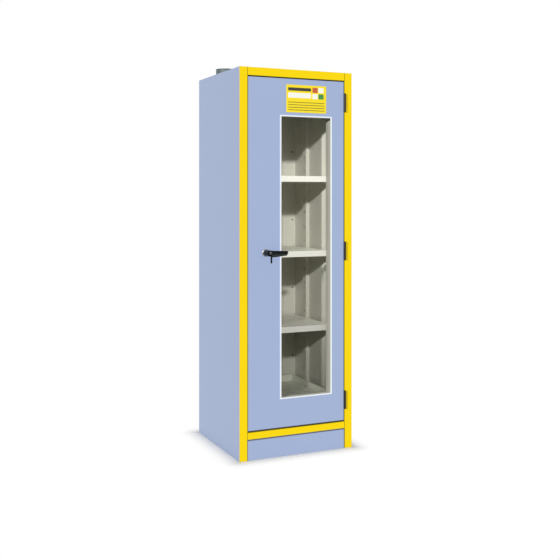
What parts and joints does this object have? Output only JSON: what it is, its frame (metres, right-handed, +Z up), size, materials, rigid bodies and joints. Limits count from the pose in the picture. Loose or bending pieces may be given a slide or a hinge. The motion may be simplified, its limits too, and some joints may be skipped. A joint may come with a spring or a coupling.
{
  "type": "safety storage cabinet",
  "caption": "Tall fire-resistant storage cabinet: a glazed hinged door with a lever lock that drives bolt rods, shelves on slotted uprights, a sump tray and roof duct spigots.",
  "frame": {"origin": "on the floor under the middle of the whole object's box, so the casing's middle is 38.75 mm behind it", "axes": "+X to the right as seen from the door, +Y to the back, +Z up"},
  "size_m": [0.63, 0.6776, 2.005],
  "materials": {
    "panel_paint": "fine powder coat, pale blue",
    "frame_paint": "smooth powder coat, safety yellow",
    "inside_paint": "fine powder coat, off-white",
    "tray_paint": "fine powder coat, pale grey",
    "glazing_tape": "pale sealing tape",
    "hinge_paint": "black powder coat",
    "duct_paint": "grey coat",
    "bare_steel": "galvanised or bright steel",
    "window_trim": "smooth white coat",
    "liner_board": "pale laminated board",
    "insulation": "mineral board",
    "seal_rubber": "matt black",
    "window_glass": "clear float glass",
    "handle_plastic": "smooth glossy black",
    "lock_chrome": "polished",
    "guide_brass": "turned"
  },
  "bodies": {
    "cabinet": {"left_side_panel": "panel_paint", "right_side_panel": "panel_paint", "back_panel": "panel_paint", "roof_panel": "panel_paint", "base_panel": "bare_steel", "plinth_panel": "panel_paint", "left_stile": "frame_paint", "right_stile": "frame_paint", "top_rail": "frame_paint", "lower_rail": "frame_paint", "upper_keeper": "bare_steel", "lower_keeper": "bare_steel", "left_insulation": "insulation", "right_insulation": "insulation", "back_insulation": "insulation", "floor_insulation": "insulation", "roof_insulation": "insulation", "left_liner": "liner_board", "right_liner": "liner_board", "back_liner": "liner_board", "ceiling_liner": "liner_board", "floor_liner": "liner_board", "exhaust_spigot": "duct_paint", "air_inlet_spigot": "duct_paint", "levelling_feet": "bare_steel", "left_uprights": "inside_paint", "right_uprights": "inside_paint", "lower_shelf": "inside_paint", "middle_shelf": "inside_paint", "upper_shelf": "inside_paint", "shelf_clips": "bare_steel", "sump_tray": "tray_paint", "tray_insert": "tray_paint", "frame_hinges": "hinge_paint"},
    "door": {"door_outer_skin": "panel_paint", "door_inner_skin": "inside_paint", "door_core": "insulation", "door_seal": "seal_rubber", "glass_pane": "window_glass", "front_glazing_gasket": "glazing_tape", "rear_glazing_gasket": "glazing_tape", "outer_glazing_trim": "window_trim", "inner_glazing_bead": "inside_paint", "door_hinges": "hinge_paint", "lock_case": "bare_steel", "lock_cover": "bare_steel", "rod_guides": "guide_brass", "rosette": "handle_plastic"},
    "lever": {"lever_handle": "handle_plastic", "spindle": "bare_steel", "drive_pinion": "bare_steel", "lock_cylinder": "lock_chrome"},
    "key_plug": {"lock_plug": "lock_chrome", "key_blade": "bare_steel"},
    "key_bow": {"key_bow": "handle_plastic"},
    "upper_rod": {"upper_rod": "bare_steel"},
    "lower_rod": {"lower_rod": "bare_steel"}
  },
  "joints": [
    {"name": "door_swing", "type": "hinge", "parent": "cabinet", "child": "door", "pos_m": [0.271, -0.26825, 1.026], "axis": [0, 0, 1], "range_deg": [0, 170]},
    {"name": "lever_turn", "type": "hinge", "parent": "door", "child": "lever", "pos_m": [-0.175, -0.26125, 1.026], "axis": [0, 1, 0], "range_deg": [0, 90]},
    {"name": "upper_rod_slide", "type": "slide", "parent": "door", "child": "upper_rod", "axis": [0, 0, 1], "range_m": [0, 0.0189]},
    {"name": "lower_rod_slide", "type": "slide", "parent": "door", "child": "lower_rod", "axis": [0, 0, -1], "range_m": [0, 0.0189]},
    {"name": "key_turn", "type": "hinge", "parent": "lever", "child": "key_plug", "pos_m": [-0.175, -0.26125, 1.026], "axis": [0, 1, 0], "range_deg": [0, 90]},
    {"name": "key_fold", "type": "hinge", "parent": "key_plug", "child": "key_bow", "pos_m": [-0.175, -0.33275, 1.026], "axis": [-1, 0, 0], "range_deg": [0, 90]}
  ],
  "couplings": [
    {"joint": "upper_rod_slide", "follows": "lever_turn", "m_per_rad": 0.012},
    {"joint": "lower_rod_slide", "follows": "lever_turn", "m_per_rad": 0.012}
  ]
}
